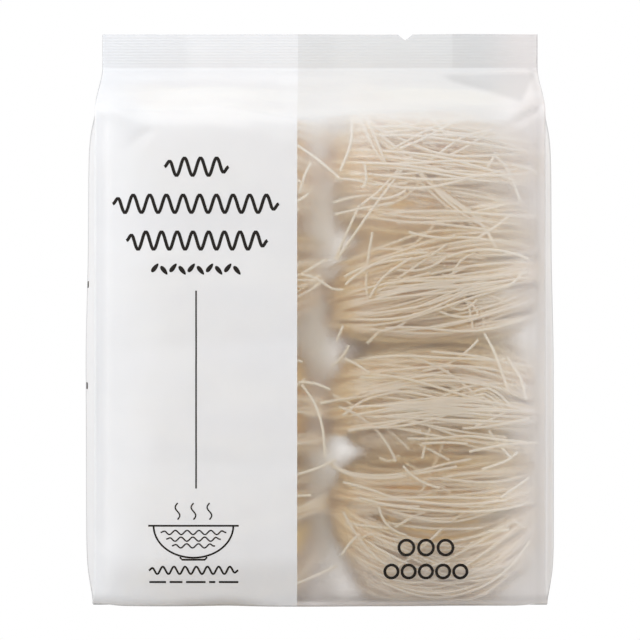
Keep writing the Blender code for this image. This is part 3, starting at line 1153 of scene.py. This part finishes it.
def traced(marks, depth):
    """Points of a strand that passes smoothly through its marks, at a depth behind the film."""
    line = [Vector(mark) * MM for mark in marks]
    line = [2 * line[0] - line[1], *line, 2 * line[-1] - line[-2]]
    points = []
    for before, start, end, after in zip(line, line[1:], line[2:], line[3:]):
        count = max(3, round((end - start).length / (2.5 * MM)))
        curve = interpolate_bezier(start, start + (end - before) / 6, end - (after - start) / 6,
                                   end, count)
        points += [kept_inside(Vector((p.x, -NEST_DEPTH - 5 * MM, p.y))) for p in curve[:-1]]
    last = line[-2]
    points.append(kept_inside(Vector((last.x, -NEST_DEPTH - 5 * MM, last.y))))
    return [point + Vector((0.0, depth, 0.0)) for point in points]


print(len(FRONT_STRANDS), "strands have their own place")

# %% Scatter the strays
STRAYS_EACH = 26


def bowed(first, last, bow, y):
    """Points of a stray strand between two places, in metres."""
    steps = max(3, round((last - first).length / (3 * MM)))
    run = (last - first).normalized()
    aside = Vector((-run.y, run.x)) * bow
    points = []
    for step in range(steps + 1):
        part = step / steps
        flat = first + (last - first) * part + aside * 4 * part * (1 - part)
        points.append(kept_inside(Vector((flat.x, y, flat.y))))
    return points


def scatter_strays(dice, nest_x, half_width, row):
    """Short loose strands over the front and the back of one nest."""
    _, nest_z, half_height, rise, _, _ = row
    strays = []
    for _ in range(STRAYS_EACH):
        side = dice.choice((-1, -1, 1))
        middle = Vector((nest_x + dice.uniform(-0.75, 0.75) * half_width,
                         nest_z + dice.uniform(-0.8, 0.8) * half_height))
        lean = dice.gauss(0, 0.5) + rise
        half = Vector((math.cos(lean), math.sin(lean))) * dice.uniform(3, 20) * MM
        y = side * (NEST_DEPTH + dice.uniform(-3.5, 1.0) * MM)
        strays.append(bowed(middle - half, middle + half, dice.gauss(0, 2.0) * MM, y))
    return strays


print(8 * STRAYS_EACH, "strays lie over the nests")

# %% [markdown]
# Inside each nest the strands are packed too densely to be seen one by one. A smaller lumpy
# core in the same noodle stands for them, so that no light leaks straight through.

# %% Build the nests
RIGHT_METRES = 55
LEFT_METRES = 22


def noodle_piece(name, strands):
    """Round strands along the given lists of points, as one mesh."""
    curve = bpy.data.curves.new(name, "CURVE")
    curve.dimensions = "3D"
    curve.bevel_depth = STRAND_RADIUS
    curve.bevel_resolution = 1
    curve.use_fill_caps = True
    for points in strands:
        spline = curve.splines.new("POLY")
        spline.points.add(len(points) - 1)
        spline.points.foreach_set("co", [value for point in points for value in (*point, 1.0)])
    drawn = bpy.data.objects.new(name, curve)
    bpy.context.scene.collection.objects.link(drawn)
    shaped = drawn.evaluated_get(bpy.context.evaluated_depsgraph_get())
    solid = bpy.data.meshes.new_from_object(shaped)
    bpy.data.objects.remove(drawn)
    bpy.data.curves.remove(curve)
    tubes = bmesh.new()
    tubes.from_mesh(solid)
    bpy.data.meshes.remove(solid)
    finish_piece(name, tubes, [rice_noodle])


def core_piece(name, nest_x, half_width, row):
    """A lumpy core that fills the middle of one nest."""
    _, nest_z, half_height, rise, _, _ = row
    core = bmesh.new()
    bmesh.ops.create_uvsphere(core, u_segments=64, v_segments=32, radius=1.0)
    for vert in core.verts:
        x, y, z = (math.copysign(abs(value) ** 0.7, value) for value in vert.co)
        lump = 1.0 + 0.06 * noise.noise(Vector((x * 2, y * 2, z * 9 + nest_z / MM)))
        x, y = x * (half_width - 8 * MM) * lump, y * (NEST_DEPTH - 6.5 * MM) * lump
        vert.co = (nest_x + x, y, nest_z + z * half_height + rise * x)
        vert.co = kept_inside(vert.co)
    finish_piece(name, core, [packed_noodle])


def build_nest(name, column, row, seed, metres):
    """Wind locks until the nest holds so many metres of strand, then add its strays."""
    dice = random.Random(seed)
    strands, length = [], 0.0
    while length < metres:
        lock = wind_lock(dice, *column, row)
        strands += lock
        length += sum(len(points) * STRAND_STEP for points in lock)
    strands += scatter_strays(dice, *column, row)
    noodle_piece(f"nest_{name}", strands)
    core_piece(f"core_{name}", *column, row)


for count, row in enumerate(NEST_ROWS):
    build_nest(f"right_{row[0]}", RIGHT_NEST, row, 11 + count, RIGHT_METRES)
    build_nest(f"left_{row[0]}", LEFT_NEST, row, 51 + count, LEFT_METRES)

dice = random.Random(5)
noodle_piece("loose_strands", [traced(marks, dice.uniform(0.0, 1.6) * MM)
                               for marks in FRONT_STRANDS])

# %% [markdown]
# ## Studio
#
# The pack stands on a pale floor in a white studio. One large soft light above, in front and
# to the left does most of the work; one lights the shoulder from above, and one behind keeps
# the back readable. What the camera sees past the pack, and what it sees through the clear
# film, is plain white.

# %% Lay the floor
floor_paint, output = new_material("pale studio floor")
tree = floor_paint.node_tree
matt = add_node(tree, "ShaderNodeBsdfDiffuse", {"Color": colour("#d8d8d8")})
bright = add_node(tree, "ShaderNodeEmission", {"Color": colour("#ffffff"), "Strength": 1.0})
ray = add_node(tree, "ShaderNodeLightPath")
shown = add_node(tree, "ShaderNodeMixShader", {},
                 {0: ray.outputs["Is Camera Ray"], 1: matt.outputs[0], 2: bright.outputs[0]})
tree.links.new(shown.outputs[0], output.inputs["Surface"])

disc_mesh = bmesh.new()
bmesh.ops.create_circle(disc_mesh, cap_ends=True, segments=96, radius=4.0)
floor_mesh = bpy.data.meshes.new("studio_floor")
disc_mesh.to_mesh(floor_mesh)
disc_mesh.free()
floor_mesh.materials.append(floor_paint)
floor = bpy.data.objects.new("studio_floor", floor_mesh)
bpy.context.scene.collection.objects.link(floor)
print("the floor is down")

# %% Hang the lights
MIDDLE = Vector((0.0, 0.0, PACK_HEIGHT / 2))


def soft_light(name, place, side, power):
    """A square soft light, turned to the middle of the pack."""
    light = bpy.data.lights.new(name, "AREA")
    light.shape = "SQUARE"
    light.size = side
    light.energy = power
    lamp = bpy.data.objects.new(name, light)
    lamp.location = place
    lamp.rotation_euler = (MIDDLE - Vector(place)).to_track_quat("-Z", "Y").to_euler()
    bpy.context.scene.collection.objects.link(lamp)
    print(name, "gives", power, "W")


soft_light("left_light", (-0.8, -0.40, 0.38), 0.5, 2.5)
soft_light("top_light", (-0.1, -0.35, 0.70), 0.5, 1.3)
soft_light("back_light", (0.3, 0.9, 1.0), 1.0, 1.0)

# %% [markdown]
# The world gives an even light from all sides. It shows as pure white to the camera, and is
# dimmer for everything else, so that the folds keep their shading and the film its grey.

# %% Fill the room with light
world = bpy.data.worlds.new("white studio")
bpy.context.scene.world = world
world.use_nodes = True
tree = world.node_tree
tree.nodes.clear()
room = add_node(tree, "ShaderNodeBackground", {"Color": colour("#ffffff"), "Strength": 1.05})
beyond = add_node(tree, "ShaderNodeBackground", {"Color": colour("#ffffff"), "Strength": 1.7})
seen = add_node(tree, "ShaderNodeBackground", {"Color": colour("#ffffff"), "Strength": 1.0})
ray = add_node(tree, "ShaderNodeLightPath")
through = add_node(tree, "ShaderNodeMixShader", {},
                   {0: ray.outputs["Is Transmission Ray"], 1: room.outputs[0],
                    2: beyond.outputs[0]})
mixed = add_node(tree, "ShaderNodeMixShader", {},
                 {0: ray.outputs["Is Camera Ray"], 1: through.outputs[0], 2: seen.outputs[0]})
add_node(tree, "ShaderNodeOutputWorld", {}, {"Surface": mixed.outputs[0]})
bpy.context.scene.view_settings.view_transform = "Standard"
bpy.context.scene.cycles.max_bounces = 16
bpy.context.scene.cycles.diffuse_bounces = 12
bpy.context.scene.cycles.transparent_max_bounces = 16
print("the room is lit")

# %% [markdown]
# ## Camera
#
# A long lens, level with the middle of the pack and almost a metre away, keeps the upright
# creases upright.

# %% Set up the camera
lens = bpy.data.cameras.new("camera")
lens.lens = 134.8
camera = bpy.data.objects.new("camera", lens)
camera.location = (0.0, -0.970, 0.1122)
camera.rotation_euler = (math.pi / 2, 0.0, 0.0)
bpy.context.scene.collection.objects.link(camera)
bpy.context.scene.camera = camera
print("the camera is", -camera.location.y, "m away")
